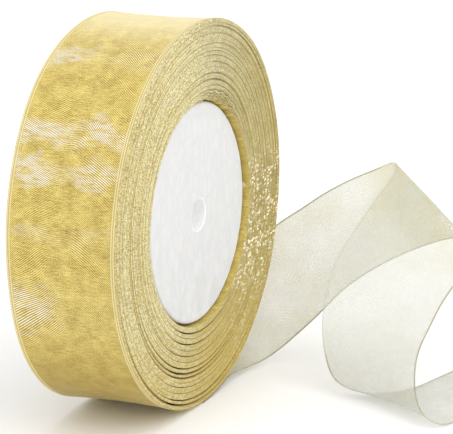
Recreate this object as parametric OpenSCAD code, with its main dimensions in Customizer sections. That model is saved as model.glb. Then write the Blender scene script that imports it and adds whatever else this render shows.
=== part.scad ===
// Ribbon spool: sheer ribbon wound on a foam disc, with its free end paid out from under the roll.
// Millimetres. The origin is the middle of the disc's bore, the roll's axis is Y and up is +Z.

/* [Ribbon] */
// Width of the ribbon, selvage to selvage
ribbon_width = 25; // [20:0.5:25]
// Thickness of the free ribbon, with its crimp
ribbon_thickness = 0.3; // [0.2:0.05:0.4]

/* [Roll] */
// Radius of the outermost turn at its selvages
roll_radius = 42.7; // [40:0.1:42.7]
// How far the middle of the outermost turn lies below its selvages
roll_waist = 0.4; // [0:0.1:1]
// Depth of the crumpled first turns next to the disc
inner_turns_depth = 3; // [1:0.5:5]
// Depth of the loosest turns at the outside
outer_turns_depth = 4; // [2:0.5:8]

/* [Foam disc] */
// Radius of the foam disc
disc_radius = 24; // [18:0.5:28]
// How far each face of the disc lies inside the ribbon's edges
disc_recess = 1; // [0:0.25:3]
// Radius of the bore for a spindle
bore_radius = 3.5; // [2:0.25:6]
// Radius that rounds the disc's rims
disc_rim = 0.6; // [0.2:0.1:1]

/* [Starting tape] */
// Width of the tape that holds the ribbon's first end to the disc
tape_width = 18; // [8:1:20]
// Thickness of the tape
tape_thickness = 0.12; // [0.05:0.01:0.2]
// Angle of the disc that the tape covers
tape_angle = 50; // [20:5:90]

/* [Hidden] */

$fn = 96;
half_width = ribbon_width / 2;
half_disc = half_width - disc_recess;
first_turn_radius = disc_radius + tape_thickness;
packed_radius = first_turn_radius + inner_turns_depth;
outer_radius = roll_radius - outer_turns_depth;

// The free ribbon as pairs of points, one on its far edge and one on its near edge: it leaves the
// roll's lowest turn, rises and twists, folds over a crest, curls on the table and runs off.
tail_edges = [
    [[0, 12.5, -43], [0, -12.5, -43]],
    [[7, 12.5, -42.6], [7, -12.5, -42.5]],
    [[14, 12.5, -41.8], [14, -12.3, -41.1]],
    [[23, 12.5, -40], [20.5, -12.3, -41.5]],
    [[32, 10, -36], [28, -13.5, -42]],
    [[39, 4, -28], [32.5, -16, -40.5]],
    [[43.5, -3.5, -20], [35, -19.5, -37]],
    [[46.5, -10.5, -13], [36, -25, -31.5]],
    [[48.5, -15.5, -9.5], [37, -30, -25.5]],
    [[50.5, -20, -6], [38.5, -34, -22]],
    [[53, -24, -3.5], [41, -37.5, -19.5]],
    [[56, -28, -1.5], [45, -42, -17]],
    [[58.5, -31.5, 0], [49.5, -47, -15]],
    [[60.5, -33.5, 1], [53, -52.5, -13.5]],
    [[60, -35.5, 1], [54.5, -56, -14.5]],
    [[57.5, -35.5, -1.5], [53.5, -58, -16.5]],
    [[53, -34, -4.5], [50, -58, -18.5]],
    [[47, -32.5, -8.5], [46, -57, -20.5]],
    [[40, -31, -13], [41, -56, -22.5]],
    [[33, -30, -18], [36, -55, -25.5]],
    [[26, -30.5, -25], [29.5, -55, -28.5]],
    [[20.5, -32.5, -31.5], [21, -55.5, -31]],
    [[17.5, -35.5, -38], [12.5, -57.5, -34]],
    [[18, -38.5, -41], [7, -60, -37.5]],
    [[20, -44, -42.8], [4.5, -62.5, -40.5]],
    [[24, -49.5, -42.8], [6, -66, -42.5]],
    [[30, -52.5, -42.8], [10, -67.5, -42.8]],
    [[38, -54.5, -42.8], [19, -71, -42.8]],
    [[47, -57, -42.8], [30, -75.5, -42.8]],
    [[57, -61, -42.8], [42, -81, -42.8]]
];
tail_steps = 4;

// A point of one edge, on a smooth curve through that edge's points; place runs from 0 to the last row.
function row(i) = tail_edges[max(0, min(len(tail_edges) - 1, i))];
function blend(a, b, c, d, t) =
    b + t * (c - a) / 2 + t * t * (2 * a - 5 * b + 4 * c - d) / 2
      + t * t * t * (3 * b - 3 * c + d - a) / 2;
function edge_point(place, side) =
    let (i = min(len(tail_edges) - 2, floor(place)))
    blend(row(i - 1)[side], row(i)[side], row(i + 1)[side], row(i + 2)[side], place - i);

// One ring of points round the ribbon's section: the under side from the near edge to the far one, then back
// on the upper side, each point set off by half the thickness along the cloth's own normal there.
tail_columns = 6;
ring_points = 2 * (tail_columns + 1);
function unit(v) = v / norm(v);
function cloth_point(place, share) = edge_point(place, 1) * (1 - share) + edge_point(place, 0) * share;
function lift(place, share) =
    let (
        last = len(tail_edges) - 1,
        along = cloth_point(min(last, place + 0.1), share) - cloth_point(max(0, place - 0.1), share)
    )
    unit(cross(along, edge_point(place, 0) - edge_point(place, 1))) * ribbon_thickness / 2;
function section(place) = concat(
    [for (k = [0 : tail_columns]) let (u = k / tail_columns) cloth_point(place, u) - lift(place, u)],
    [for (k = [tail_columns : -1 : 0]) let (u = k / tail_columns) cloth_point(place, u) + lift(place, u)]
);

module foam_disc() {
    color("white")
    rotate([90, 0, 0])
    rotate_extrude()
    polygon([
        [bore_radius, -half_disc],
        [disc_radius - disc_rim, -half_disc],
        [disc_radius, -half_disc + disc_rim],
        [disc_radius, half_disc - disc_rim],
        [disc_radius - disc_rim, half_disc],
        [bore_radius, half_disc]
    ]);
}

module starting_tape() {
    color("ivory")
    rotate([90, 0, 0])
    rotate_extrude(angle = tape_angle)
    translate([disc_radius, -tape_width / 2])
    square([tape_thickness, tape_width]);
}

// A run of wound turns as a plain ring, between two radii.
module turns(inside, outside) {
    rotate([90, 0, 0])
    rotate_extrude()
    translate([inside, -half_width])
    square([outside - inside, ribbon_width]);
}

module inner_turns() {
    color("darkkhaki") turns(first_turn_radius, packed_radius);
}

module packed_turns() {
    color("khaki") turns(packed_radius, outer_radius);
}

// The outermost turns, whose thick selvages stand above the middle of the ribbon.
module outer_turns() {
    waist_steps = 8;
    color("palegoldenrod")
    rotate([90, 0, 0])
    rotate_extrude()
    polygon(concat(
        [[outer_radius, half_width], [outer_radius, -half_width]],
        [
            for (i = [0 : waist_steps])
            let (across = 2 * i / waist_steps - 1)
            [roll_radius - roll_waist * (1 - across * across), across * half_width]
        ]
    ));
}

// Both sides of the cloth split each of their squares along the same diagonal, so that they never cross.
module ribbon_tail() {
    rings = (len(tail_edges) - 1) * tail_steps;
    points = [for (i = [0 : rings]) each section(i / tail_steps)];
    sides = [
        for (i = [0 : rings - 1], k = [0 : ring_points - 1])
        let (
            a = ring_points * i + k,
            b = ring_points * i + (k + 1) % ring_points,
            c = a + ring_points,
            d = b + ring_points
        )
        each (k <= tail_columns ? [[a, d, b], [a, c, d]] : [[a, c, b], [b, c, d]])
    ];
    ends = [
        for (k = [0 : tail_columns - 1], first = [0, ring_points * rings])
        let (
            corners = [first + k, first + k + 1, first + ring_points - 2 - k, first + ring_points - 1 - k],
            loop = first == 0 ? corners : [corners[3], corners[2], corners[1], corners[0]]
        )
        each [[loop[0], loop[1], loop[2]], [loop[0], loop[2], loop[3]]]
    ];
    color("lemonchiffon") polyhedron(points, concat(sides, ends));
}

foam_disc();
starting_tape();
inner_turns();
packed_turns();
outer_turns();
ribbon_tail();
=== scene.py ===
# Ribbon spool: sheer gold ribbon wound on a foam disc, its free end folded and curled beside it.
import math

import bpy
import numpy as np
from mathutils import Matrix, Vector


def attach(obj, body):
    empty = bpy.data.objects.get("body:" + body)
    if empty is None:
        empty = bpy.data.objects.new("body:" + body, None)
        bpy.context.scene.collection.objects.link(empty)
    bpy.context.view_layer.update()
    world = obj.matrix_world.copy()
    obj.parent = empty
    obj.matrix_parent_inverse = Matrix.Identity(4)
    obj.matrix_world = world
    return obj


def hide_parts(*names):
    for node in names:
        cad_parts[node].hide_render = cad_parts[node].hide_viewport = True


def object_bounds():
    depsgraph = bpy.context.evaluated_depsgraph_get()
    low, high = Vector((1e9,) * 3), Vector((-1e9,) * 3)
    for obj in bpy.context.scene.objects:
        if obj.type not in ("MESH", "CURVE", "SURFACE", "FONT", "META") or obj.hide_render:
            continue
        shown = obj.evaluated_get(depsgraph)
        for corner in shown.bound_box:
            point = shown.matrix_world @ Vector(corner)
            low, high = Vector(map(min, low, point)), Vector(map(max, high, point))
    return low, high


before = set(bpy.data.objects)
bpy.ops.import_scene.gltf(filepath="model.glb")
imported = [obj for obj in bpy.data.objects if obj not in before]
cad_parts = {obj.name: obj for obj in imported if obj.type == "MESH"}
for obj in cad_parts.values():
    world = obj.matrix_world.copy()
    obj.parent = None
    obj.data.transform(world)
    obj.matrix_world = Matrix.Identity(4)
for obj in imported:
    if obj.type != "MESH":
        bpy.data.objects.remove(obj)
cadLow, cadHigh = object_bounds()
mm = 0.001
rng = np.random.default_rng(7)
ribbonHalf = 12.5  # half the ribbon's width, mm
rollEdge = 42.62  # radius of the last turn at its selvages, mm
foldAt = 89.0  # how far along the free end it folds over, mm

cameraSetup = {
    "turn": -63.9,  # degrees round the roll, from in front of its near side
    "rise": 14.2,  # degrees above the table
    "distance": 0.509,  # metres from the roll's centre
    "lens": 184.0,
    "sensor": 36.0,
    "clipStart": 0.01,
    "aimAside": 0.0165,  # how far right of the roll's centre the camera looks
    "aimDown": 0.0018,  # and how far below it
}


def makeCamera(setup):
    # place = distance times the direction away from the roll; aim = centre plus the steps aside and down
    turn, rise = math.radians(setup["turn"]), math.radians(setup["rise"])
    away = Vector((math.sin(turn) * math.cos(rise), -math.cos(turn) * math.cos(rise), math.sin(rise)))
    aside = Vector((math.cos(turn), math.sin(turn), 0))
    aim = aside * setup["aimAside"] - aside.cross(-away) * setup["aimDown"]
    place = away * setup["distance"]
    data = bpy.data.cameras.new("view")
    data.lens = setup["lens"]
    data.sensor_width = setup["sensor"]
    data.clip_start = setup["clipStart"]
    camera = bpy.data.objects.new("view", data)
    camera.location = place
    camera.rotation_euler = (aim - place).to_track_quat("-Z", "Y").to_euler()
    bpy.context.collection.objects.link(camera)
    bpy.context.scene.camera = camera


makeCamera(cameraSetup)
print("camera placed")


def addPiece(name, points, faces, faceSlots, uv, materials, smooth=True):
    # points, faces of four corners each, a material slot for each face and the cloth's own coordinates
    mesh = bpy.data.meshes.new(name)
    mesh.from_pydata([], [], [])
    mesh.vertices.add(len(points))
    mesh.vertices.foreach_set("co", np.ascontiguousarray(points, np.float32).ravel())
    mesh.loops.add(faces.size)
    mesh.loops.foreach_set("vertex_index", faces.ravel().astype(np.int32))
    mesh.polygons.add(len(faces))
    mesh.polygons.foreach_set("loop_start", np.arange(0, faces.size, 4, dtype=np.int32))
    for material in materials:
        mesh.materials.append(material)
    mesh.polygons.foreach_set("material_index", faceSlots.astype(np.int32))
    layer = mesh.uv_layers.new(name="cloth")
    layer.data.foreach_set("uv", uv[faces.ravel()].astype(np.float32).ravel())
    mesh.update(calc_edges=True)
    mesh.validate()
    mesh.polygons.foreach_set("use_smooth", np.full(len(mesh.polygons), smooth))
    piece = bpy.data.objects.new(name, mesh)
    bpy.context.collection.objects.link(piece)
    return piece


# A closed shell between two grids of the same size, rows along the ribbon and columns across it.
# Its sides and ends are quads that join the upper grid's rim to the lower grid's.
def ribbonShell(name, upper, lower, along, across, materials, smooth=True):
    rows, cols = upper.shape[:2]
    ring = np.concatenate([upper, lower[:, ::-1]], axis=1)
    width = 2 * cols
    number = np.arange(rows * width).reshape(rows, width)
    after = np.roll(number, -1, axis=1)
    walls = np.stack([number[:-1], number[1:], after[1:], after[:-1]], axis=-1)
    slots = np.zeros((rows - 1, width))
    slots[:, [cols - 1, width - 1]] = 1
    k = np.arange(cols - 1)
    facing = width - 1 - k  # the column of the lower grid that lies under column k
    start = np.stack([number[0, k], number[0, k + 1], number[0, facing - 1], number[0, facing]], -1)
    end = np.stack([number[-1, k], number[-1, facing], number[-1, facing - 1], number[-1, k + 1]], -1)
    faces = np.concatenate([walls.reshape(-1, 4), start, end])
    faceSlots = np.concatenate([slots.ravel(), np.ones(2 * (cols - 1))])
    acrossRing = np.concatenate([across, across[::-1]])
    uv = np.stack(np.broadcast_arrays(along[:, None], acrossRing[None, :]), -1).reshape(-1, 2)
    return addPiece(name, ring.reshape(-1, 3), faces, faceSlots, uv, materials, smooth)


class Wire:
    # A node's output; arithmetic on it adds Math nodes to the same tree.
    def __init__(self, paint, socket):
        self.paint, self.socket = paint, socket

    def math(self, operation, *others):
        return self.paint.node("ShaderNodeMath", {"operation": operation}, dict(enumerate((self, *others))))

    def __add__(self, other):
        return self.math("ADD", other)

    def __sub__(self, other):
        return self.math("SUBTRACT", other)

    def __mul__(self, other):
        return self.math("MULTIPLY", other)

    def __pow__(self, other):
        return self.math("POWER", other)

    def __rsub__(self, other):
        return self.paint.node("ShaderNodeMath", {"operation": "SUBTRACT"}, {0: other, 1: self})

    __radd__, __rmul__ = __add__, __mul__

    def wave(self):
        # sine, brought between 0 and 1
        return self.math("SINE") * 0.5 + 0.5

    def lines(self, gap):
        # waves whose crests lie this far apart
        return (self * (2 * math.pi / gap)).wave()

    def clamp(self, low=0.0, high=1.0):
        return self.math("MAXIMUM", low).math("MINIMUM", high)

    def ease(self, low, high):
        # rises smoothly from 0 at low to 1 at high
        values = {"Value": self, "From Min": low, "From Max": high}
        return self.paint.node("ShaderNodeMapRange", {"interpolation_type": "SMOOTHSTEP"}, values)

    def split(self):
        parts = self.paint.rawNode("ShaderNodeSeparateXYZ", {}, {0: self})
        return [Wire(self.paint, out) for out in parts.outputs]


class Paint:
    # One material, built around a Principled shader.
    def __init__(self, name, constants):
        self.material = bpy.data.materials.new(name)
        self.material.use_nodes = True
        self.tree = self.material.node_tree
        self.shader = self.tree.nodes["Principled BSDF"]
        for socket, value in constants.items():
            self.shader.inputs[socket].default_value = value

    def rawNode(self, kind, settings, values):
        made = self.tree.nodes.new(kind)
        for key, value in settings.items():
            setattr(made, key, value)
        for key, value in values.items():
            self.plug(made.inputs[key], value)
        return made

    def plug(self, socket, value):
        if isinstance(value, Wire):
            self.tree.links.new(value.socket, socket)
        else:
            socket.default_value = value

    def node(self, kind, settings=None, values=None, out=0):
        return Wire(self, self.rawNode(kind, settings or {}, values or {}).outputs[out])

    def objectPlace(self):
        return self.node("ShaderNodeTexCoord", out="Object")

    def clothPlace(self):
        return self.node("ShaderNodeUVMap", {"uv_map": "cloth"})

    def noise(self, place, scale, detail=2.0, roughness=0.5):
        return self.node("ShaderNodeTexNoise", {}, {
            "Vector": place, "Scale": scale, "Detail": detail, "Roughness": roughness})

    def cells(self, place, scale, feature="F1"):
        return self.node("ShaderNodeTexVoronoi", {"feature": feature}, {"Vector": place, "Scale": scale})

    def mix(self, amount, a, b):
        # sockets 6, 7 and 2 are the node's two colours and its colour result
        mixer = self.rawNode("ShaderNodeMix", {"data_type": "RGBA"}, {"Factor": amount, 6: a, 7: b})
        return Wire(self, mixer.outputs[2])

    def bump(self, height, depth, strength=1.0):
        return self.node("ShaderNodeBump", {}, {"Height": height, "Distance": depth, "Strength": strength})

    def set(self, socket, value):
        self.plug(self.shader.inputs[socket], value)


def tone(red, green, blue):
    # sRGB, 0 to 255, to the linear colour that shaders take: a straight line in the darks and a power of
    # 2.4 above them
    parts = (red / 255, green / 255, blue / 255)
    linear = [c / 12.92 if c <= 0.04045 else ((c + 0.055) / 1.055) ** 2.4 for c in parts]
    return (*linear, 1.0)


# The raised cords of a selvage: the first one's distance from the edge, the step to the second, their
# reach and their heights, mm.
cords = {"at": 0.22, "gap": 0.53, "reach": 0.16, "heights": (0.07, 0.05)}

wovenGold = {
    "deep": tone(144, 112, 26),
    "light": tone(242, 222, 128),
    "highlightTone": tone(252, 248, 232),
    "yarn": 0.26,  # mm from one yarn to the next
    "waterLine": 0.46,  # mm from one line of the watered pattern to the next
    "slant": 0.8,  # how steeply the watered lines slant to both sides
    "middleWander": 10.0,  # mm over which the middle of the slanted lines wanders
    "turnRound": 6.0,  # square millimetres that round their turn in the middle
    "lineDrift": 3.5,
    "bandWander": 12.0,
    "farHalf": (-3.0, 7.0),  # mm across the ribbon where its far half begins
    "slowShare": 0.8,  # what each noise adds to the light and dark of the cloth
    "fleeceShare": 1.9,
    "streakShare": 1.2,
    "selvage": 1.1,  # mm
    "cordDark": tone(186, 162, 86),
    "cordLight": tone(238, 226, 172),
    # painted highlights: bright bands round the roll that stand in for the lamps' reflections: degrees
    # round the roll, half width in degrees, strength, and the share of it that is kept on the near half
    "highlightBands": [
        (119, 6, 0.7, 0.3),
        (146, 5, 1.0, 0.9),
        (157, 4.5, 0.9, 0.8),
        (197, 10, 0.6, 0.05),
        (175, 3, 0.3, 0.6),
    ],
    # painted light and shade round the roll, a lighter top and a darker lower left: degrees, half width in
    # degrees, strength
    "paintedTopLight": (88, 30, 0.75),
    "paintedLowShade": (232, 32, 0.8),
    "paintedTopLightTone": tone(252, 240, 192),
    "paintedLowShadeTone": tone(154, 126, 18),
}


def arc(degrees):
    return degrees / 360 * 2 * math.pi * rollEdge


def alongAt(degrees):
    # how far along the last turn a place lies, from its angle round the roll
    return arc(degrees - 270)


def paintWovenGold(look):
    paint = Paint("wovenGold", {"Roughness": 0.45, "Specular IOR Level": 0.45, "Sheen Weight": 0.12,
                                "Sheen Roughness": 0.4})
    place = paint.clothPlace()
    along, across, _ = place.split()
    middle = across.math("ABSOLUTE")
    drift = paint.noise(place, 0.06, 1.0)
    # chevron lines: they run along the ribbon, slanted to both sides of a wandering middle with a rounded
    # turn, the root of (across squared + turnRound), and bent by slow noise
    aside = across + (paint.noise(place, 0.05, 1.0) - 0.5) * look["middleWander"]
    bend = (aside * aside + look["turnRound"]) ** 0.5
    water = (along - bend * look["slant"] + drift * look["lineDrift"]).lines(look["waterLine"])
    patch = paint.noise(place, 0.16, 2.0).ease(0.38, 0.66)
    warp = across.lines(look["yarn"])
    weft = along.lines(look["yarn"])
    wander = along + (paint.noise(place, 0.12, 2.0) - 0.5) * look["bandWander"]
    farHalf = across.ease(*look["farHalf"])
    # painted highlight: bright bands, broken into streaks, that stand in for reflections of the lamps
    paintedHighlight = 0.0
    for degrees, reach, strength, keep in look["highlightBands"]:
        size = arc(reach)
        away = (wander - alongAt(degrees)).math("ABSOLUTE")
        paintedHighlight = (1.0 - away.ease(size * 0.25, size)) * (farHalf * (1.0 - keep) + keep) * strength + paintedHighlight
    brushed = paint.node("ShaderNodeMapping", {}, {"Vector": place, "Scale": (1.3, 0.26, 1.0)})
    paintedHighlight = paintedHighlight.clamp() * (paint.noise(brushed, 1.0, 3.0, 0.7).ease(0.38, 0.58) * 0.85 + 0.15)
    slow = paint.noise(place, 0.3, 3.0)
    fleece = paint.noise(place, 4.0, 2.0, 0.8)
    combed = paint.node("ShaderNodeMapping", {}, {"Vector": place, "Scale": (3.4, 0.45, 1.0)})
    streak = paint.noise(combed, 1.0, 2.0, 0.7)
    offMiddle = aside.math("ABSOLUTE").ease(0.5, 5.0) * 0.8 + 0.2
    lines = (water - 0.5) * (patch * 0.5 + 0.55 + paintedHighlight * 1.5) * offMiddle
    depth = lines + (slow - 0.5) * look["slowShare"] + (fleece - 0.5) * look["fleeceShare"]
    depth = depth + (streak - 0.5) * look["streakShare"] + 0.5
    base = paint.mix(depth.clamp(), look["deep"], look["light"])
    # painted highlight over the top of the roll and painted shade at its lower left
    for change in ("paintedTopLight", "paintedLowShade"):
        degrees, reach, strength = look[change]
        size = arc(reach)
        share = (1.0 - (along - alongAt(degrees)).math("ABSOLUTE").ease(size * 0.15, size)) * strength
        base = paint.mix(share * 0.7, base, look[change + "Tone"])
    # inside the bands the painted highlight whitens the cloth along the watered lines
    bright = water * water
    sheen = (paintedHighlight * (bright * 1.4 * offMiddle + fleece * 0.2)).clamp(0, 0.97)
    cloth = paint.mix(sheen, base, look["highlightTone"])
    fromEdge = ribbonHalf - middle
    cord = ((fromEdge - cords["at"]) * (2 * math.pi / cords["gap"]) + math.pi / 2).wave()
    selvage = 1.0 - fromEdge.ease(look["selvage"] * 0.85, look["selvage"])
    edged = paint.mix((cord + (fleece - 0.5) * 0.9).clamp(), look["cordDark"], look["cordLight"])
    paint.set("Base Color", paint.mix(selvage * 0.8, cloth, edged))
    paint.set("Roughness", 0.52 - paintedHighlight * 0.18)
    paint.set("Normal", paint.bump(warp * weft * 0.5 + water * 0.4, 0.00003, 0.8))
    return paint.material


turnEdges = {
    "shadow": tone(100, 82, 16),
    "yarn": tone(226, 218, 166),
    "gold": tone(184, 158, 48),
    "fleck": tone(255, 255, 248),
    "grain": 2600.0,  # grains per metre
    "patches": 260.0,  # patches per metre of the slow changes
    "glintSpotCells": 1400.0,  # cells per metre
    "glintSpotNarrow": 0.5,  # the painted glints are wider along x by one over this
    # metres from the roll's axis between which each change comes in: down, left, right and up
    "shadeAndGoldBelow": (0.012, 0.036),
    "leftOf": (-0.012, 0.02),
    "rightOf": (0.002, 0.024),
    "noneAbove": (0.0, 0.012),
    "fewerBelow": (0.008, 0.034),
}


def paintTurnEdges(look):
    paint = Paint("turnEdges", {"Roughness": 0.55, "Specular IOR Level": 0.4, "Sheen Weight": 0.1,
                                "Emission Strength": 0.35})
    place = paint.objectPlace()
    x, _, z = place.split()
    grain = paint.noise(place, look["grain"], 2.0, 0.8)
    slow = paint.noise(place, look["patches"], 2.0)
    low = (z * -1.0).ease(*look["shadeAndGoldBelow"])
    leftSide = (x * -1.0).ease(*look["leftOf"])
    glitter = grain.ease(0.42, 0.58) * (leftSide * 0.6 + 0.4)
    base = paint.mix((glitter + slow * 0.4 + 0.14).clamp(), look["shadow"], look["yarn"])
    # painted shade with a deeper gold: the side turns darken towards the bottom, where the looser turns
    # also show their gold faces
    base = paint.mix(low * 0.6, base, look["gold"])
    # painted glints: white spots, glowing at the lower right, that stand in for light caught by loose loops
    # of yarn; the cells are wide along x
    stretch = (look["glintSpotNarrow"], 1.0, 1.0)
    widened = paint.node("ShaderNodeMapping", {}, {"Vector": place, "Scale": stretch})
    cells = paint.cells(widened, look["glintSpotCells"])
    rightLow = x.ease(*look["rightOf"]) * (1.0 - z.ease(*look["noneAbove"]))
    rightLow = rightLow * ((z * -1.0).ease(*look["fewerBelow"]) * -0.75 + 1.0)
    spread = slow.ease(0.36, 0.56)
    paintedGlints = (1.0 - cells.ease(0.3, 0.48)) * (spread * rightLow + leftSide * 0.25).clamp()
    # painted shade over the lower right, deeper between the painted glints
    base = paint.mix(rightLow * (cells.ease(0.4, 0.8) * 0.3 + 0.1), base, look["shadow"])
    paint.set("Base Color", paint.mix(paintedGlints, base, look["fleck"]))
    # the painted glints at the lower right glow, though nothing there is a lamp
    paint.set("Emission Color", paint.mix(paintedGlints * rightLow, (0, 0, 0, 1), look["fleck"]))
    paint.set("Roughness", 0.55 - paintedGlints * 0.35)
    paint.set("Normal", paint.bump(grain + paintedGlints * 0.6, 0.00008))
    return paint.material


foamLook = {
    "face": tone(213, 213, 212),
    "joint": tone(204, 204, 203),
    "dent": tone(196, 196, 195),
    "bead": 420.0,  # beads per metre
    "mottle": 330.0,
    "lower": (-0.004, 0.02),  # metres below the axis between which the dents grow darker
    "bore": 0.0036,
    "boreBlur": 0.0003,
}


def paintFoam(look):
    paint = Paint("beadFoam", {"Roughness": 0.85, "Specular IOR Level": 0.25, "Subsurface Weight": 0.1,
                               "Subsurface Scale": 0.002, "Emission Strength": 0.2})
    place = paint.objectPlace()
    x, _, z = place.split()
    stretched = paint.node("ShaderNodeMapping", {}, {"Vector": place, "Scale": (1.0, 1.0, 0.55)})
    seam = paint.cells(stretched, look["bead"], "DISTANCE_TO_EDGE").ease(0.0, 0.25)
    mottle = paint.noise(stretched, look["mottle"], 3.0).ease(0.3, 0.7)
    lower = (z * -1.0).ease(*look["lower"])
    base = paint.mix(seam * 0.4 + 0.6, look["joint"], look["face"])
    base = paint.mix((1.0 - mottle) * (lower * 0.45 + 0.12), base, look["dent"])
    paint.set("Base Color", base)
    paint.set("Roughness", 0.95 - seam * 0.15)
    # painted light: the bore's wall glows, standing in for light that comes through the foam round it
    fromMiddle = (x * x + z * z) ** 0.5
    lit = 1.0 - fromMiddle.ease(look["bore"], look["bore"] + look["boreBlur"])
    paint.set("Emission Color", paint.mix(lit, (0, 0, 0, 1), (1, 1, 1, 1)))
    paint.set("Normal", paint.bump(seam * 0.5 + mottle, 0.00008))
    return paint.material


sheerLook = {
    "cloth": tone(210, 209, 190),
    "cool": tone(212, 213, 205),
    "gold": tone(206, 199, 148),
    "selvage": tone(172, 168, 136),
    "glint": tone(255, 250, 235),
    "yarn": 0.26,
    "waterLine": 0.5,
    "slant": 0.7,
    "lineDrift": 9.0,
    "selvageWidth": 0.26,
    "cover": 0.36,  # how much of the light the open weave stops
    # places along the free end, mm
    "flatEdge": (84.0, 138.0),  # where the far selvage lies flat against the cloth behind it
    "crestReach": 8.0,  # how far from the fold it still catches the light
    "coolFrom": (96.0, 122.0),  # where the gold tone fades into the cool one
    "thinFrom": (150.0, 170.0),  # where the cloth begins to look thinner
    "glintCells": 1.5,
    # places across it, mm
    "glintNear": (-12.0, -10.0),  # where the crest's glints begin and end
    "glintFar": (-3.0, 2.0),
}


def paintSheer(look):
    paint = Paint("sheerWeave", {"Roughness": 0.5, "Specular IOR Level": 0.35, "Sheen Weight": 0.1})
    place = paint.clothPlace()
    along, across, _ = place.split()
    drift = paint.noise(place, 0.07, 1.0)
    water = (along + across * look["slant"] + drift * look["lineDrift"]).lines(look["waterLine"])
    cloud = paint.noise(place, 0.1, 3.0)
    patch = paint.noise(place, 0.18, 2.0).ease(0.4, 0.62)
    warp = across.lines(look["yarn"])
    weft = along.lines(look["yarn"])
    selvage = look["selvageWidth"]
    rim = across.math("ABSOLUTE").ease(ribbonHalf - selvage * 1.5, ribbonHalf - selvage)
    first, last = look["flatEdge"]
    flat = along.ease(first, first + 6) * (1.0 - along.ease(last, last + 8)) * across.ease(-1.0, 1.0)
    rim = rim * (1.0 - flat * 0.75)
    reach = look["crestReach"]
    nearCrest = 1.0 - (along - foldAt).math("ABSOLUTE").ease(reach * 0.3, reach)
    cells = paint.cells(place, look["glintCells"])
    glint = (1.0 - cells.ease(0.25, 0.5)) * nearCrest
    glint = glint * across.ease(*look["glintNear"]) * (1.0 - across.ease(*look["glintFar"]))
    base = paint.mix(cloud.ease(0.35, 0.7) * 0.4 + water * patch * 0.2, look["cloth"], look["gold"])
    base = paint.mix(nearCrest * 0.5, base, look["gold"])
    base = paint.mix(along.ease(*look["coolFrom"]) * 0.7, base, look["cool"])
    base = paint.mix(glint, base, look["glint"])
    paint.set("Base Color", paint.mix(rim, base, look["selvage"]))
    weave = (warp + weft) * 0.05 + (water - 0.5) * patch * 0.2 + (cloud - 0.5) * 0.16 - 0.05
    weave = weave - along.ease(*look["thinFrom"]) * 0.1
    paint.set("Alpha", (look["cover"] + weave + nearCrest * 0.1 + glint * 0.4 + rim * 0.4).clamp(0.1, 0.95))
    paint.set("Roughness", 0.55 - water * 0.1)
    paint.set("Normal", paint.bump(warp * weft + water * 0.4, 0.00002, 0.7))
    return paint.material


tapeLook = {"dark": tone(226, 214, 172), "light": tone(240, 232, 202), "streaks": 900.0}


def paintTape(look):
    paint = Paint("clearTape", {"Coat Weight": 0.5})
    streak = paint.noise(paint.objectPlace(), look["streaks"], 2.0)
    paint.set("Base Color", paint.mix(streak, look["dark"], look["light"]))
    paint.set("Alpha", 0.55 + streak * 0.2)
    paint.set("Roughness", 0.2 + streak * 0.15)
    return paint.material


goldMaterial = paintWovenGold(wovenGold)
edgeMaterial = paintTurnEdges(turnEdges)
foamMaterial = paintFoam(foamLook)
sheerMaterial = paintSheer(sheerLook)
tapeMaterial = paintTape(tapeLook)
print("finishes mixed")

winding = {
    "turns": 217,
    "first": 24.15,  # radius of the first turn, mm
    "halfWidth": 12.4,
    "thick": 0.08,
    "packedFrom": 34,  # turns at which the next piece of the winding begins
    "outerFrom": 171,
    "meanRadius": 33.5,
    "plainHalf": 10.5,  # keeps the selvage lines of the cloth's pattern for the last turn
    "waist": 0.4,  # how far the last turn sinks between its selvages
    "waistFrom": 208,  # turn from which the sinking grows
    "ridge": 0.16,  # how far the middle of a group of turns stands out at the side
    "ridgeRound": 0.4,  # power that rounds a ridge; lower is flatter
    "ridgeBase": 0.7,  # share of a ridge that is taken off every turn again
    "stepShare": 0.8,
    "sway": 0.05,  # how far each turn sways from side to side
    "crumple": 0.72,  # wave height of the first turns, mm
    "crumpleFade": 20.0,  # turns in which the waves fade
    "lean": 0.65,  # how far the first turns lean out on one side and in on the other
    "leanBack": 0.15,
    "leanFade": 24.0,
    # waves of the first turns: how many there are in a full turn, where they are highest and their reach,
    # both in radians
    "topWaves": (42, 1.1, 0.85),
    "lowWaves": (47, -1.05, 0.3),
    "fold": (0.9, 0.12, 0.09),  # one fold by the tape's loose corner: height, angle and reach
    "topSwell": 0.85,  # how far the foam and the first turns stand out at the top
    "swellAt": 97.0,  # degrees
    "swellReach": 75.0,
    "swellFade": 60.0,
    "swellEnd": 12,  # the swelling is gone over this many last turns
    # where the outer turns stand out of round: how far, at which angle and over which reach, in radians
    "nearHump": (0.75, 0.75, 1.0),  # on the near edge, at the upper right
    "farHump": (0.8, 2.3, 0.75),  # on the far edge, at the upper left
    "lowHump": (1.2, -2.4, 0.72),  # on the far edge, at the lower left
}

# Loose gaps between groups of turns. Angles are degrees, widths are mm.
gaps = {
    "groups": 14,
    "spacing": (9, 20),  # turns from one gap to the next
    "first": 3,
    "last": 205,
    "angle": (-100, 16),  # where a gap is widest under the roll, and how far that varies
    "reach": (55, 95),
    "widths": [0.08, 0.14, 0.24, 0.34, 0.46],
    "upperAngle": (42, 28),  # the same for its second widening, at the upper right
    "upperWidth": (0.1, 0.34),
    "upperReach": 1.4,  # radians
    # gaps that only the crumpled first turns leave, at the upper right
    "looseTurns": [2, 7, 13, 20],
    "looseAngles": [64, 58, 66, 55],
    "looseReaches": [48, 52, 45, 50],
    "looseWidths": [0.34, 0.4, 0.34, 0.24],
    # how far the edges step sideways: from turn to turn, and from group to group
    "turnStep": 0.03,
    "groupStep": 0.07,
    "evenOver": 12,  # turns to each side over which the steps are evened out
}


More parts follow.
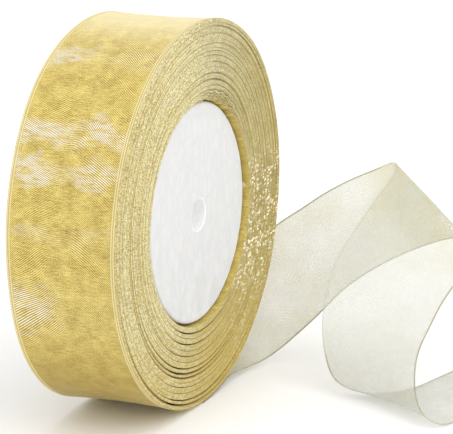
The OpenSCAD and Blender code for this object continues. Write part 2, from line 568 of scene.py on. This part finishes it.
def about(centre, spread):
    return np.radians(centre + rng.uniform(-spread, spread, groups))


groups = gaps["groups"]
slackTurn = np.cumsum(rng.integers(*gaps["spacing"], groups)) + gaps["first"]
slackTurn = slackTurn * gaps["last"] // slackTurn[-1]
slackAngle = about(*gaps["angle"])
slackReach = np.radians(rng.uniform(*gaps["reach"], groups))
slackWidth = rng.choice(gaps["widths"], groups)
upperAngle = about(*gaps["upperAngle"])
upperWidth = rng.uniform(*gaps["upperWidth"], groups)
looseAngle, looseReach = np.radians(gaps["looseAngles"]), np.radians(gaps["looseReaches"])
gapTurn = np.concatenate([slackTurn, gaps["looseTurns"]])
# a random walk, less its own mean over the turns around
edgeStep = np.concatenate([[0], np.cumsum(rng.normal(0, gaps["turnStep"], winding["turns"] + 2))])
evenOver = gaps["evenOver"]
window = np.ones(2 * evenOver + 1) / (2 * evenOver + 1)
edgeStep -= np.convolve(np.pad(edgeStep, evenOver, mode="edge"), window, "valid")
edgeJitter = rng.normal(0, gaps["turnStep"], winding["turns"] + 3)
groupStep = rng.normal(0, gaps["groupStep"], groups + 1)


def lobe(angle, centre, reach):
    # one smooth hump of cos squared, wrapped round the circle
    away = np.abs((angle - centre + np.pi) % (2 * np.pi) - np.pi)
    return np.where(away < reach, np.cos(np.clip(away / reach, 0, 1) * np.pi / 2) ** 2, 0)


def slackAt(angle):
    # width of every loose gap at these angles, one row for each gap
    low = zip(slackWidth, slackAngle, slackReach)
    high = zip(upperWidth, upperAngle)
    loose = zip(gaps["looseWidths"], looseAngle, looseReach)
    rows = [
        width * lobe(angle, centre, reach) + top * lobe(angle, topAngle, gaps["upperReach"])
        for (width, centre, reach), (top, topAngle) in zip(low, high)
    ]
    rows += [width * lobe(angle, centre, reach) for width, centre, reach in loose]
    return np.array(rows)


def swell(angle):
    # topSwell times one hump over the top of the roll
    centre, reach = math.radians(winding["swellAt"]), math.radians(winding["swellReach"])
    return winding["topSwell"] * lobe(angle, centre, reach)


def turnRadius(turn, angle):
    # radius = first + even pitch, less the room the gaps take, plus each gap once its turn is passed,
    # plus waves and a swelling at the top that fade over the first turns
    slack = slackAt(angle)
    room = rollEdge - winding["first"] - slack.sum(0)
    passed = np.clip(turn[None, :] - gapTurn[:, None], 0, 1)
    passed = passed * passed * (3 - 2 * passed)
    fade = np.exp(-turn / winding["crumpleFade"])
    count, centre, reach = winding["topWaves"]
    ripple = np.sin(angle * count + 1.3 * np.sin(angle * 5) + turn * 0.12) * lobe(angle, centre, reach)
    count, centre, reach = winding["lowWaves"]
    ripple = ripple + 0.8 * np.sin(angle * count) * lobe(angle, centre, reach)
    ripple = ripple + hump(angle, "fold")
    outer = np.clip((turn - winding["turns"] + winding["swellEnd"]) / winding["swellEnd"], 0, 1)
    spread = swell(angle) * np.exp(-turn / winding["swellFade"]) * (1 - outer)
    return winding["first"] + room * turn / winding["turns"] + (slack * passed).sum(0) + spread + (
        winding["crumple"] * fade * (0.6 * ripple + 0.6))


def edgeReach(turn, angle, side):
    # half width: ridges over each group of turns, small steps between turns, and a lean of the first turns
    number = np.arange(winding["turns"] + 3)
    step = np.interp(turn, number, edgeStep[: len(number)]) + np.interp(turn, number, edgeJitter)
    starts = np.concatenate([[0], slackTurn, [winding["turns"] + 1]])
    group = np.clip(np.searchsorted(slackTurn, turn, side="right"), 0, groups)
    share = np.clip((turn - starts[group]) / (starts[group + 1] - starts[group]), 0, 1)
    ridge = winding["ridge"] * (np.sin(np.pi * share) ** winding["ridgeRound"] - winding["ridgeBase"])
    sway = winding["sway"] * np.sin(angle + turn * 0.7 + side)
    tilt = winding["lean"] * np.cos(angle) - winding["leanBack"]
    lean = np.exp(-turn / winding["leanFade"]) * tilt if side < 0 else 0
    steps = side * (step + groupStep[group]) * winding["stepShare"]
    return winding["halfWidth"] + ridge + steps + sway + lean


def spiralAngle(turn):
    # the last turn ends under the roll, where the free end goes on
    return (turn - winding["turns"]) * 2 * np.pi - np.pi / 2


def spiralPoints(radius, angle, across):
    return np.stack([radius * np.cos(angle), across, radius * np.sin(angle)], -1) * mm


def waistAt(turn, side):
    # sink = waist times a share that grows over the outer turns, times 1 - side squared
    share = np.clip((turn - winding["waistFrom"]) / (winding["turns"] - winding["waistFrom"]), 0, 1)
    return winding["waist"] * share[:, None] * (1 - side[None, :] ** 2)


def hump(angle, name):
    # its height times one lobe
    height, centre, reach = winding[name]
    return height * lobe(angle, centre, reach)


def flare(turn, angle, side):
    # the roll is a little out of round: its radius grows by (turn / turns) squared, times the near edge's
    # share (1 - side) / 2 of one hump, plus the far edge's share (1 + side) / 2 of two others
    near = hump(angle, "nearHump")
    far = hump(angle, "farHump") + hump(angle, "lowHump")
    part = (side[None, :] + 1) / 2
    return (turn[:, None] / winding["turns"]) ** 2 * (near[:, None] * (1 - part) + far[:, None] * part)


# A run of the spiral: every point of the cloth is at (radius - waist, angle, side times the half width).
def windTurns(name, fromTurn, toTurn, segments, columns=2):
    count = int(round((toTurn - fromTurn) * segments)) + 1
    turn = np.linspace(fromTurn, toTurn, count)
    angle = spiralAngle(turn)
    wrapped = (angle + np.pi) % (2 * np.pi) - np.pi
    side = np.linspace(-1, 1, columns)
    near = -edgeReach(turn, wrapped, -1)[:, None]
    far = edgeReach(turn, wrapped, 1)[:, None]
    across = near * (1 - side) / 2 + far * (1 + side) / 2
    radius = turnRadius(turn, wrapped)[:, None] + flare(turn, wrapped, side) - waistAt(turn, side)
    turned = angle[:, None] + 0 * side
    lower = spiralPoints(radius, turned, across)
    upper = spiralPoints(radius + winding["thick"], turned, across)
    along = turn * 2 * np.pi * winding["meanRadius"]
    plainSide = side * winding["plainHalf"]
    return ribbonShell(name, upper, lower, along, plainSide, [goldMaterial, edgeMaterial], smooth=False)


outsideTurn = {
    "lift": 0.03,  # how far the last turn lies off the spiral, mm
    "backing": 0.02,  # how far its inside reaches back towards it
    "wider": 0.05,  # how much wider it is to each side, and how far that varies
    "edgeWave": 0.03,
}


# The last turn in full detail: concave across, with a selvage of two cords at each side.
def windLastTurn(name, segments, columns):
    turn = np.linspace(winding["turns"] - 1, winding["turns"], segments + 1)
    angle = spiralAngle(turn)
    wrapped = (angle + np.pi) % (2 * np.pi) - np.pi
    side = np.sin(np.linspace(-0.5, 0.5, columns) * np.pi)  # closer together at the edges
    fromEdge = (1 - np.abs(side)) * winding["halfWidth"]
    raised = sum(
        height * np.exp(-((fromEdge - cords["at"] - number * cords["gap"]) / cords["reach"]) ** 2)
        for number, height in enumerate(cords["heights"])
    )
    sag = waistAt(turn, side)
    radius = turnRadius(turn, wrapped)[:, None] + flare(turn, wrapped, side) + outsideTurn["lift"]
    around = wrapped[:, None]
    ripple = 0.02 * np.sin(around * 23 + side * 2) + 0.015 * np.sin(around * 57 - side * 5)
    outside = radius + winding["thick"] + raised - sag + ripple * (1 - side ** 4)
    inside = radius - sag - outsideTurn["backing"]
    reach = winding["halfWidth"] + outsideTurn["wider"] + outsideTurn["edgeWave"] * np.sin(wrapped * 9)
    across = reach[:, None] * side[None, :]
    upper = spiralPoints(outside, angle[:, None] + 0 * side, across)
    lower = spiralPoints(inside + 0 * outside, angle[:, None] + 0 * side, across)
    along = (turn - winding["turns"]) * 2 * np.pi * rollEdge
    return ribbonShell(name, upper, lower, along, side * ribbonHalf, [goldMaterial, goldMaterial])


packedFrom, outerFrom, waistFrom = (winding[key] for key in ("packedFrom", "outerFrom", "waistFrom"))
innerTurns = windTurns("innerTurns", 0, packedFrom, 360)
packedTurns = windTurns("packedTurns", packedFrom, outerFrom, 96)
outerTurns = windTurns("outerTurns", outerFrom, waistFrom, 96)
waistedTurns = windTurns("waistedTurns", waistFrom, winding["turns"] - 1, 120, 9)
lastTurn = windLastTurn("lastTurn", 360, 61)
for piece, node in ((innerTurns, "inner_turns"), (packedTurns, "packed_turns")):
    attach(piece, "roll")
    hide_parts(node)
for piece in (outerTurns, waistedTurns, lastTurn):
    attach(piece, "roll")
    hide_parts("outer_turns")
print("ribbon wound")

disc = {
    "radius": 24.0,
    "halfWidth": 11.5,
    "bore": 3.5,
    "rim": 0.6,  # radius that rounds the rim
    "boreRim": 0.3,
    "segments": 240,
    "facePoints": 58,
    "beads": 0.03,  # height of the beads on the faces
}


# A profile from the bore's middle, out over one face, round the rim and back, spun about Y.
def turnDisc(name, spec):
    corner = np.linspace(0, np.pi / 2, 6)
    rimOut = spec["radius"] - spec["rim"] + spec["rim"] * np.sin(corner)
    rimSide = spec["halfWidth"] - spec["rim"] + spec["rim"] * np.cos(corner)
    boreOut = spec["bore"] + spec["boreRim"] - spec["boreRim"] * np.sin(corner)
    boreSide = spec["halfWidth"] - spec["boreRim"] + spec["boreRim"] * np.cos(corner)
    inner, outer = spec["bore"] + spec["boreRim"], spec["radius"] - spec["rim"]
    face = np.linspace(inner, outer, spec["facePoints"] + 2)[1:-1]
    halfOut = np.concatenate([boreOut[::-1], face, rimOut])
    halfSide = np.concatenate([boreSide[::-1], np.full(len(face), spec["halfWidth"]), rimSide])
    out = np.concatenate([halfOut, halfOut[::-1]])
    side = np.concatenate([halfSide, -halfSide[::-1]])
    angle = np.linspace(0, 2 * np.pi, spec["segments"], endpoint=False)
    wrapped = (angle + np.pi) % (2 * np.pi) - np.pi
    reach = out[:, None] + swell(wrapped) * (out[:, None] / spec["radius"]) ** 3
    x = reach * np.cos(angle)
    z = reach * np.sin(angle)
    # beads: shallow hills, the product of two bent waves plus a slower one
    hills = np.sin(x * 1.7 + np.sin(z * 1.1)) * np.sin(z * 1.9 + np.sin(x * 1.3))
    hills = hills + 0.5 * np.sin(x * 0.6 + z * 0.8)
    lift = spec["beads"] * hills * np.sign(side)[:, None] * (out[:, None] > spec["bore"] + 0.4)
    y = side[:, None] + lift - spec["beads"] * np.sign(side)[:, None]
    points = np.stack([x, y, z], -1).reshape(-1, 3) * mm
    rows, cols = len(out), spec["segments"]
    number = np.arange(rows * cols).reshape(rows, cols)
    below = np.roll(number, -1, axis=0)
    faces = np.stack([number, below, np.roll(below, -1, axis=1), np.roll(number, -1, axis=1)], -1)
    faces = faces.reshape(-1, 4)
    uv = points[:, [0, 2]]
    return addPiece(name, points, faces, np.zeros(len(faces)), uv, [foamMaterial])


foamDisc = turnDisc("foamDisc", disc)
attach(foamDisc, "roll")
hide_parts("foam_disc")

tape = {
    "start": 0.2,  # degrees
    "angle": 50,
    "radius": 24.01,
    "thick": 0.1,
    "halfWidth": 9.0,
    "tab": 3.4,  # how far its loose corner stands out
    "tabAt": 3.5,
    "tabReach": 3.0,
    "tabFrom": 11.2,  # from here outwards the corner droops towards the axis
    "droop": 0.5,
}


# Clear tape that holds the ribbon's start on the foam: a strip round part of the disc, with one corner
# standing out past the foam's face; radius follows the foam's own swelling.
def layTape(name, spec):
    degrees = np.linspace(spec["start"], spec["angle"], 90)
    angle = np.radians(degrees)
    side = np.linspace(-1, 1, 19)
    tab = spec["tab"] * np.sqrt(lobe(angle, math.radians(spec["tabAt"]), math.radians(spec["tabReach"])))
    nearEdge = -spec["halfWidth"] - tab
    across = nearEdge[:, None] * (1 - side) / 2 + spec["halfWidth"] * (1 + side) / 2
    droop = spec["droop"] * np.clip(-spec["tabFrom"] - across, 0, 1)
    radius = spec["radius"] + swell(angle)[:, None] - droop
    turned = angle[:, None] + 0 * side
    upper = spiralPoints(radius + spec["thick"], turned, across)
    lower = spiralPoints(radius, turned, across)
    along = angle * spec["radius"]
    return ribbonShell(name, upper, lower, along, side * spec["halfWidth"], [tapeMaterial, tapeMaterial])


startingTape = layTape("startingTape", tape)
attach(startingTape, "roll")
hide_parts("starting_tape")
print("disc turned")

freeEnd = {
    "width": 25.0,
    "length": 197.0,
    "thick": 0.1,
    "cord": 0.1,  # extra thickness of the selvages
    "cordAt": 0.18,
    "cordReach": 0.16,
    "floor": -43.0,
    "bow": 0.35,  # how far the middle stands off, in slow waves along the ribbon
    "bowLength": 17.0,
    "ripple": 0.07,
    "rippleLength": 2.6,
    "rippleFade": 11.0,
    # how far from the roll the bow and the ripple begin, and how far on they are full
    "stillFor": 28.0,
    "growOver": 30.0,
    # the same from the cut end, which keeps some of them
    "beyondEnd": 25.0,
    "fadeOver": 40.0,
    "foldCalm": 0.95,  # share of them that the fold takes away, and its reach
    "foldReach": 9.0,
    "steps": 18,  # rows between two stations
    "columns": 49,
}

# Stations along the ribbon, in mm: a point on the far edge and the point across from it on the near edge.
stations = np.array([
    [0, 12.5, -43, 0, -12.5, -43],
    [7, 12.5, -42.6, 7, -12.5, -42.5],
    [14, 12.5, -41.8, 14, -12.3, -41.1],
    [23, 12.5, -40, 20.5, -12.3, -41.5],
    [32, 10, -36, 28, -13.5, -42],
    [39, 4, -28, 32.5, -16, -40.5],
    [43.5, -3.5, -20, 35, -19.5, -37],
    [46.5, -10.5, -13, 36, -25, -31.5],
    [48.5, -15.5, -9.5, 37, -30, -25.5],
    [50.5, -20, -6, 38.5, -34, -22],
    [53, -24, -3.5, 41, -37.5, -19.5],
    [56, -28, -1.5, 45, -42, -17],
    [58.5, -31.5, 0, 49.5, -47, -15],
    [60.5, -33.5, 1, 53, -52.5, -13.5],
    [60, -35.5, 1, 54.5, -56, -14.5],
    [57.5, -35.5, -1.5, 53.5, -58, -16.5],
    [53, -34, -4.5, 50, -58, -18.5],
    [47, -32.5, -8.5, 46, -57, -20.5],
    [40, -31, -13, 41, -56, -22.5],
    [33, -30, -18, 36, -55, -25.5],
    [26, -30.5, -25, 29.5, -55, -28.5],
    [20.5, -32.5, -31.5, 21, -55.5, -31],
    [17.5, -35.5, -38, 12.5, -57.5, -34],
    [18, -38.5, -41, 7, -60, -37.5],
    [20, -44, -42.8, 4.5, -62.5, -40.5],
    [24, -49.5, -42.8, 6, -66, -42.5],
    [30, -52.5, -42.8, 10, -67.5, -42.8],
    [38, -54.5, -42.8, 19, -71, -42.8],
    [47, -57, -42.8, 30, -75.5, -42.8],
    [57, -61, -42.8, 42, -81, -42.8],
])


def throughStations(rows, steps):
    # each stretch is the cubic that passes its two stations and heads from one neighbour to the next, and
    # then a mean weighted by a Hann window, one stretch to each side, smooths the whole curve
    last = len(rows) - 1
    place = np.linspace(0, last, last * steps + 1)
    i = np.minimum(place.astype(int), last - 1)
    t = (place - i)[:, None]
    a, b, c, d = (rows[np.clip(i + k, 0, last)] for k in (-1, 0, 1, 2))
    curve = b + t * (c - a) / 2 + t ** 2 * (2 * a - 5 * b + 4 * c - d) / 2
    curve = curve + t ** 3 * (3 * b - 3 * c + d - a) / 2
    kernel = np.hanning(2 * steps + 1)
    padded = np.pad(curve, ((steps, steps), (0, 0)), mode="reflect", reflect_type="odd")
    return np.stack([np.convolve(padded[:, k], kernel / kernel.sum(), "valid") for k in range(6)], -1)


def layFreeEnd(name, spec):
    # every point of the cloth is near times (1 - part) plus far times part, moved along the cloth's own
    # normal by a bow and a ripple
    edges = throughStations(stations, spec["steps"])
    far, near = edges[:, None, :3], edges[:, None, 3:]
    side = np.sin(np.linspace(-0.5, 0.5, spec["columns"]) * np.pi)
    part = (side[None, :, None] + 1) / 2
    sheet = near * (1 - part) + far * part
    middle = edges[:, :3] / 2 + edges[:, 3:] / 2
    stride = np.linalg.norm(np.diff(middle, axis=0), axis=1)
    along = np.concatenate([[0], np.cumsum(stride)])
    print("length at each station", np.round(along[:: spec["steps"]]).astype(int).tolist())
    forward = np.gradient(sheet, axis=0)
    sideways = np.gradient(sheet, axis=1)
    normal = np.cross(forward, sideways)
    normal /= np.linalg.norm(normal, axis=2, keepdims=True)
    # both are gone near the roll and almost gone where the cloth folds over
    away = np.clip((along - spec["stillFor"]) / spec["growOver"], 0, 1)
    away = away * np.clip((along[-1] - along + spec["beyondEnd"]) / spec["fadeOver"], 0, 1)
    calm = spec["foldCalm"] * np.exp(-((along - foldAt) / spec["foldReach"]) ** 2)
    away = (away * (1 - calm))[:, None]
    bow = spec["bow"] * np.sin(along / spec["bowLength"])[:, None] * (1 - side[None, :] ** 2)
    waves = np.sin(along[:, None] / spec["rippleLength"] + 3 * side[None, :])
    ripple = spec["ripple"] * waves * np.sin(along[:, None] / spec["rippleFade"])
    sheet = sheet + normal * (away * (bow + ripple))[..., None]
    sheet[..., 2] = np.maximum(sheet[..., 2], spec["floor"])
    fromEdge = (1 - np.abs(side)) * ribbonHalf
    raised = np.exp(-((fromEdge - spec["cordAt"]) / spec["cordReach"]) ** 2)
    half = spec["thick"] / 2 + spec["cord"] * raised / 2
    half = half[None, :, None]
    upper = sheet + normal * half
    lower = sheet - normal * half
    across = side * ribbonHalf
    return ribbonShell(name, upper * mm, lower * mm, along, across, [sheerMaterial, sheerMaterial])


ribbonTail = layFreeEnd("ribbonTail", freeEnd)
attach(ribbonTail, "tail")
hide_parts("ribbon_tail")
print("free end laid")

studio = {
    "floor": float(cadLow[2]) - 0.00002,  # just under the lowest cloth
    "floorSize": 6.0,
    "world": 1.04,
    "paper": tone(250, 250, 250),
    "sun": (-0.08, -0.4, 0.92),
    "sunPower": 0.38,
    "sunSpread": 50.0,
    "front": (-0.25, -0.9, 0.45),
    "frontSize": 0.6,
    "frontPower": 2.5,
}


def hangLamp(name, data, place):
    # a lamp at this place, turned to the roll
    lamp = bpy.data.objects.new(name, data)
    lamp.location = place
    lamp.rotation_euler = (-Vector(place)).to_track_quat("-Z", "Y").to_euler()
    bpy.context.collection.objects.link(lamp)


def makeStudio(setup):
    # a square white floor, an even white world, a broad sun and one soft lamp in front
    half, height = setup["floorSize"] / 2, setup["floor"]
    mesh = bpy.data.meshes.new("floor")
    corners = [(-half, -half, height), (half, -half, height), (half, half, height), (-half, half, height)]
    mesh.from_pydata(corners, [], [(0, 1, 2, 3)])
    floor = bpy.data.objects.new("floor", mesh)
    bpy.context.collection.objects.link(floor)
    paint = Paint("floorPaper", {"Roughness": 0.9, "Specular IOR Level": 0.1})
    paint.set("Base Color", setup["paper"])
    mesh.materials.append(paint.material)
    world = bpy.data.worlds.new("studio")
    world.use_nodes = True
    background = world.node_tree.nodes["Background"]
    background.inputs["Color"].default_value = (1, 1, 1, 1)
    background.inputs["Strength"].default_value = setup["world"]
    bpy.context.scene.world = world
    sun = bpy.data.lights.new("sky", "SUN")
    sun.energy, sun.angle = setup["sunPower"], math.radians(setup["sunSpread"])
    hangLamp("sky", sun, setup["sun"])
    front = bpy.data.lights.new("front", "AREA")
    front.size, front.energy = setup["frontSize"], setup["frontPower"]
    hangLamp("front", front, setup["front"])
    bpy.context.scene.view_settings.view_transform = "Standard"


makeStudio(studio)
print("studio lit")
